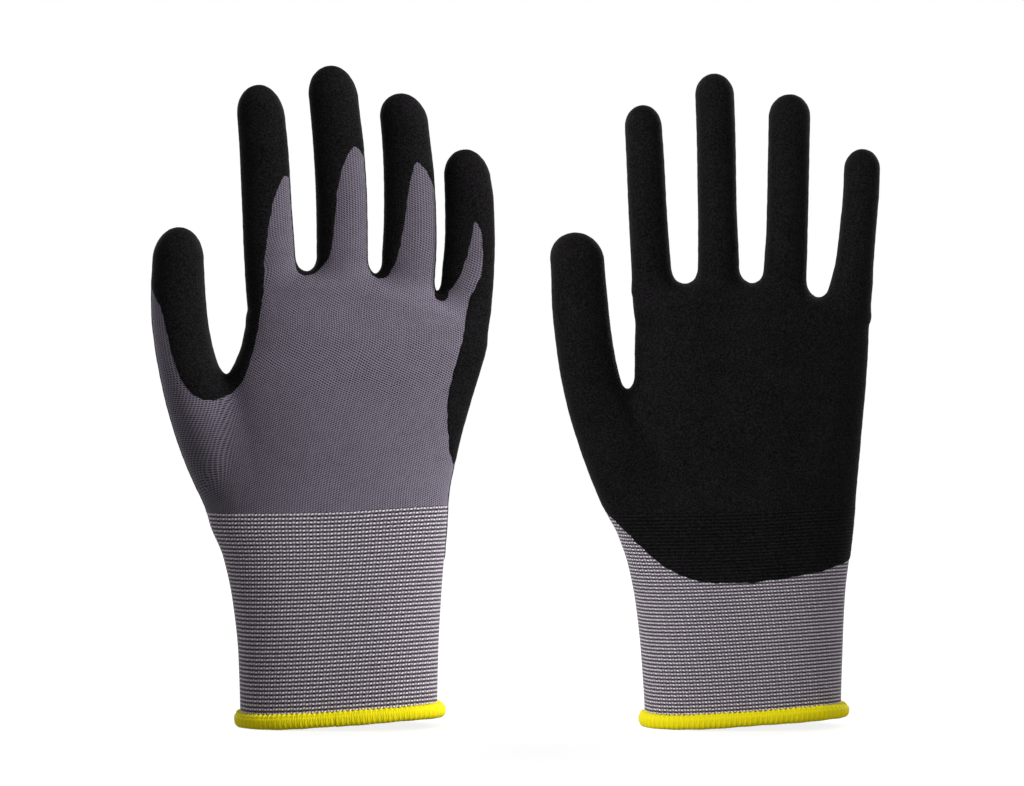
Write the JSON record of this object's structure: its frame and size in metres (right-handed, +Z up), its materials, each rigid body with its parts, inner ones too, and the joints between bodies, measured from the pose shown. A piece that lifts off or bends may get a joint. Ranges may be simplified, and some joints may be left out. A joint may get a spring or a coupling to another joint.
{
  "type": "work gloves",
  "caption": "Pair of knitted work gloves with black foam-nitrile palms and fingertips, grey knit backs, ribbed elastic cuffs and yellow overlock hems, upright.",
  "frame": {"origin": "on the floor, in the middle of the pair's footprint", "axes": "+Z up towards the fingertips; +X from the right-hand glove to the left-hand glove, away from both thumbs; -Y towards the viewer, who sees the back of the right-hand glove and the palm of the left-hand glove"},
  "size_m": [0.2886, 0.046, 0.2614],
  "materials": {
    "plain_knit": "fine 15-gauge nylon plain knit, matte with a slight sheen",
    "cuff_rib_knit": "knit with white laid-in elastic showing as rows of dots",
    "elastic_yarn": "white covered elastic yarn",
    "overlock_yarn": "bright yellow stitched yarn, ribbed",
    "nitrile_foam": "matte black foamed nitrile with a fine grain"
  },
  "bodies": {
    "right_cuff": {"right_cuff_hem": "overlock_yarn", "right_cuff_knit": "cuff_rib_knit", "right_cuff_elastic": "elastic_yarn"},
    "right_hand": {"right_wrist_knit": "cuff_rib_knit", "right_hand_knit": "plain_knit", "right_palm_coating": "nitrile_foam"},
    "right_index_base": {"right_index_base_knit": "plain_knit", "right_index_base_coating": "nitrile_foam"},
    "right_index_middle": {"right_index_middle_knit": "plain_knit", "right_index_middle_coating": "nitrile_foam"},
    "right_index_end": {"right_index_tip": "nitrile_foam"},
    "right_middle_base": {"right_middle_base_knit": "plain_knit", "right_middle_base_coating": "nitrile_foam"},
    "right_middle_middle": {"right_middle_middle_knit": "plain_knit", "right_middle_middle_coating": "nitrile_foam"},
    "right_middle_end": {"right_middle_tip": "nitrile_foam"},
    "right_ring_base": {"right_ring_base_knit": "plain_knit", "right_ring_base_coating": "nitrile_foam"},
    "right_ring_middle": {"right_ring_middle_knit": "plain_knit", "right_ring_middle_coating": "nitrile_foam"},
    "right_ring_end": {"right_ring_tip": "nitrile_foam"},
    "right_little_base": {"right_little_base_knit": "plain_knit", "right_little_base_coating": "nitrile_foam"},
    "right_little_middle": {"right_little_middle_knit": "plain_knit", "right_little_middle_coating": "nitrile_foam"},
    "right_little_end": {"right_little_tip": "nitrile_foam"},
    "right_thumb_base": {"right_thumb_base_knit": "plain_knit", "right_thumb_base_coating": "nitrile_foam"},
    "right_thumb_end": {"right_thumb_tip": "nitrile_foam"},
    "left_cuff": {"left_cuff_hem": "overlock_yarn", "left_cuff_knit": "cuff_rib_knit", "left_cuff_elastic": "elastic_yarn"},
    "left_hand": {"left_wrist_knit": "cuff_rib_knit", "left_hand_knit": "plain_knit", "left_palm_coating": "nitrile_foam"},
    "left_index_base": {"left_index_base_knit": "plain_knit", "left_index_base_coating": "nitrile_foam"},
    "left_index_middle": {"left_index_middle_knit": "plain_knit", "left_index_middle_coating": "nitrile_foam"},
    "left_index_end": {"left_index_tip": "nitrile_foam"},
    "left_middle_base": {"left_middle_base_knit": "plain_knit", "left_middle_base_coating": "nitrile_foam"},
    "left_middle_middle": {"left_middle_middle_knit": "plain_knit", "left_middle_middle_coating": "nitrile_foam"},
    "left_middle_end": {"left_middle_tip": "nitrile_foam"},
    "left_ring_base": {"left_ring_base_knit": "plain_knit", "left_ring_base_coating": "nitrile_foam"},
    "left_ring_middle": {"left_ring_middle_knit": "plain_knit", "left_ring_middle_coating": "nitrile_foam"},
    "left_ring_end": {"left_ring_tip": "nitrile_foam"},
    "left_little_base": {"left_little_base_knit": "plain_knit", "left_little_base_coating": "nitrile_foam"},
    "left_little_middle": {"left_little_middle_knit": "plain_knit", "left_little_middle_coating": "nitrile_foam"},
    "left_little_end": {"left_little_tip": "nitrile_foam"},
    "left_thumb_base": {"left_thumb_base_knit": "plain_knit", "left_thumb_base_coating": "nitrile_foam"},
    "left_thumb_end": {"left_thumb_tip": "nitrile_foam"}
  },
  "joints": [
    {"name": "right_wrist_bend", "type": "hinge", "parent": "right_cuff", "child": "right_hand", "pos_m": [-0.0693, 0.02, 0.054], "axis": [-1, 0, 0], "range_deg": [0, 45], "stiffness_Nm_per_rad": 0.05},
    {"name": "right_index_base_bend", "type": "hinge", "parent": "right_hand", "child": "right_index_base", "pos_m": [-0.0969, 0.0074, 0.186], "axis": [-1, 0, 0], "range_deg": [0, 75], "stiffness_Nm_per_rad": 0.004},
    {"name": "right_index_middle_bend", "type": "hinge", "parent": "right_index_base", "child": "right_index_middle", "pos_m": [-0.09808, 0.0074, 0.20677], "axis": [-1, 0, 0], "range_deg": [0, 90], "stiffness_Nm_per_rad": 0.003},
    {"name": "right_index_tip_bend", "type": "hinge", "parent": "right_index_middle", "child": "right_index_end", "pos_m": [-0.09937, 0.0074, 0.22955], "axis": [-1, 0, 0], "range_deg": [0, 45]},
    {"name": "right_middle_base_bend", "type": "hinge", "parent": "right_hand", "child": "right_middle_base", "pos_m": [-0.0685, 0.0074, 0.186], "axis": [-1, 0, 0], "range_deg": [0, 75], "stiffness_Nm_per_rad": 0.004},
    {"name": "right_middle_middle_bend", "type": "hinge", "parent": "right_middle_base", "child": "right_middle_middle", "pos_m": [-0.06962, 0.0074, 0.20941], "axis": [-1, 0, 0], "range_deg": [0, 90], "stiffness_Nm_per_rad": 0.003},
    {"name": "right_middle_tip_bend", "type": "hinge", "parent": "right_middle_middle", "child": "right_middle_end", "pos_m": [-0.07084, 0.0074, 0.23508], "axis": [-1, 0, 0], "range_deg": [0, 45]},
    {"name": "right_ring_base_bend", "type": "hinge", "parent": "right_hand", "child": "right_ring_base", "pos_m": [-0.0421, 0.0074, 0.184], "axis": [-1, 0, 0], "range_deg": [0, 75], "stiffness_Nm_per_rad": 0.004},
    {"name": "right_ring_middle_bend", "type": "hinge", "parent": "right_ring_base", "child": "right_ring_middle", "pos_m": [-0.04278, 0.0074, 0.20458], "axis": [-1, 0, 0], "range_deg": [0, 90], "stiffness_Nm_per_rad": 0.003},
    {"name": "right_ring_tip_bend", "type": "hinge", "parent": "right_ring_middle", "child": "right_ring_end", "pos_m": [-0.04353, 0.0074, 0.22716], "axis": [-1, 0, 0], "range_deg": [0, 45]},
    {"name": "right_little_base_bend", "type": "hinge", "parent": "right_hand", "child": "right_little_base", "pos_m": [-0.0183, 0.0074, 0.176], "axis": [-1, 0, 0], "range_deg": [0, 75], "stiffness_Nm_per_rad": 0.004},
    {"name": "right_little_middle_bend", "type": "hinge", "parent": "right_little_base", "child": "right_little_middle", "pos_m": [-0.01855, 0.0074, 0.19212], "axis": [-1, 0, 0], "range_deg": [0, 90], "stiffness_Nm_per_rad": 0.003},
    {"name": "right_little_tip_bend", "type": "hinge", "parent": "right_little_middle", "child": "right_little_end", "pos_m": [-0.01882, 0.0074, 0.2098], "axis": [-1, 0, 0], "range_deg": [0, 45]},
    {"name": "right_thumb_base_bend", "type": "hinge", "parent": "right_hand", "child": "right_thumb_base", "pos_m": [-0.1293, 0.01343, 0.1395], "axis": [-0.9781, 0, -0.2079], "range_deg": [0, 50], "stiffness_Nm_per_rad": 0.006},
    {"name": "right_thumb_tip_bend", "type": "hinge", "parent": "right_thumb_base", "child": "right_thumb_end", "pos_m": [-0.1335, 0.012, 0.1685], "axis": [-0.9976, 0, -0.0698], "range_deg": [0, 60], "stiffness_Nm_per_rad": 0.003},
    {"name": "left_wrist_bend", "type": "hinge", "parent": "left_cuff", "child": "left_hand", "pos_m": [0.0907, -0.02, 0.054], "axis": [1, 0, 0], "range_deg": [0, 45], "stiffness_Nm_per_rad": 0.05},
    {"name": "left_index_base_bend", "type": "hinge", "parent": "left_hand", "child": "left_index_base", "pos_m": [0.0534, -0.0088, 0.182], "axis": [1, 0, 0], "range_deg": [0, 75], "stiffness_Nm_per_rad": 0.004},
    {"name": "left_index_middle_bend", "type": "hinge", "parent": "left_index_base", "child": "left_index_middle", "pos_m": [0.05232, -0.0088, 0.20175], "axis": [1, 0, 0], "range_deg": [0, 90], "stiffness_Nm_per_rad": 0.003},
    {"name": "left_index_tip_bend", "type": "hinge", "parent": "left_index_middle", "child": "left_index_end", "pos_m": [0.05113, -0.0088, 0.2234], "axis": [1, 0, 0], "range_deg": [0, 45]},
    {"name": "left_middle_base_bend", "type": "hinge", "parent": "left_hand", "child": "left_middle_base", "pos_m": [0.08, -0.0088, 0.182], "axis": [1, 0, 0], "range_deg": [0, 75], "stiffness_Nm_per_rad": 0.004},
    {"name": "left_middle_middle_bend", "type": "hinge", "parent": "left_middle_base", "child": "left_middle_middle", "pos_m": [0.07957, -0.0088, 0.20556], "axis": [1, 0, 0], "range_deg": [0, 90], "stiffness_Nm_per_rad": 0.003},
    {"name": "left_middle_tip_bend", "type": "hinge", "parent": "left_middle_middle", "child": "left_middle_end", "pos_m": [0.07909, -0.0088, 0.2314], "axis": [1, 0, 0], "range_deg": [0, 45]},
    {"name": "left_ring_base_bend", "type": "hinge", "parent": "left_hand", "child": "left_ring_base", "pos_m": [0.1069, -0.0088, 0.181], "axis": [1, 0, 0], "range_deg": [0, 75], "stiffness_Nm_per_rad": 0.004},
    {"name": "left_ring_middle_bend", "type": "hinge", "parent": "left_ring_base", "child": "left_ring_middle", "pos_m": [0.1074, -0.0088, 0.20227], "axis": [1, 0, 0], "range_deg": [0, 90], "stiffness_Nm_per_rad": 0.003},
    {"name": "left_ring_tip_bend", "type": "hinge", "parent": "left_ring_middle", "child": "left_ring_end", "pos_m": [0.10794, -0.0088, 0.22559], "axis": [1, 0, 0], "range_deg": [0, 45]},
    {"name": "left_little_base_bend", "type": "hinge", "parent": "left_hand", "child": "left_little_base", "pos_m": [0.1343, -0.0088, 0.177], "axis": [1, 0, 0], "range_deg": [0, 75], "stiffness_Nm_per_rad": 0.004},
    {"name": "left_little_middle_bend", "type": "hinge", "parent": "left_little_base", "child": "left_little_middle", "pos_m": [0.13517, -0.0088, 0.19281], "axis": [1, 0, 0], "range_deg": [0, 90], "stiffness_Nm_per_rad": 0.003},
    {"name": "left_little_tip_bend", "type": "hinge", "parent": "left_little_middle", "child": "left_little_end", "pos_m": [0.13612, -0.0088, 0.21015], "axis": [1, 0, 0], "range_deg": [0, 45]},
    {"name": "left_thumb_base_bend", "type": "hinge", "parent": "left_hand", "child": "left_thumb_base", "pos_m": [0.0301, -0.01349, 0.1356], "axis": [0.9781, 0, 0.2079], "range_deg": [0, 50], "stiffness_Nm_per_rad": 0.006},
    {"name": "left_thumb_tip_bend", "type": "hinge", "parent": "left_thumb_base", "child": "left_thumb_end", "pos_m": [0.0259, -0.0124, 0.166], "axis": [0.9962, 0, 0.0872], "range_deg": [0, 60], "stiffness_Nm_per_rad": 0.003},
    {"name": "left_glove_apart", "type": "slide", "parent": "right_cuff", "child": "left_cuff", "axis": [1, 0, 0], "range_m": [0, 0.15]}
  ],
  "couplings": [
    {"joint": "right_index_tip_bend", "follows": "right_index_middle_bend", "ratio": 0.5},
    {"joint": "right_middle_tip_bend", "follows": "right_middle_middle_bend", "ratio": 0.5},
    {"joint": "right_ring_tip_bend", "follows": "right_ring_middle_bend", "ratio": 0.5},
    {"joint": "right_little_tip_bend", "follows": "right_little_middle_bend", "ratio": 0.5},
    {"joint": "left_index_tip_bend", "follows": "left_index_middle_bend", "ratio": 0.5},
    {"joint": "left_middle_tip_bend", "follows": "left_middle_middle_bend", "ratio": 0.5},
    {"joint": "left_ring_tip_bend", "follows": "left_ring_middle_bend", "ratio": 0.5},
    {"joint": "left_little_tip_bend", "follows": "left_little_middle_bend", "ratio": 0.5}
  ]
}
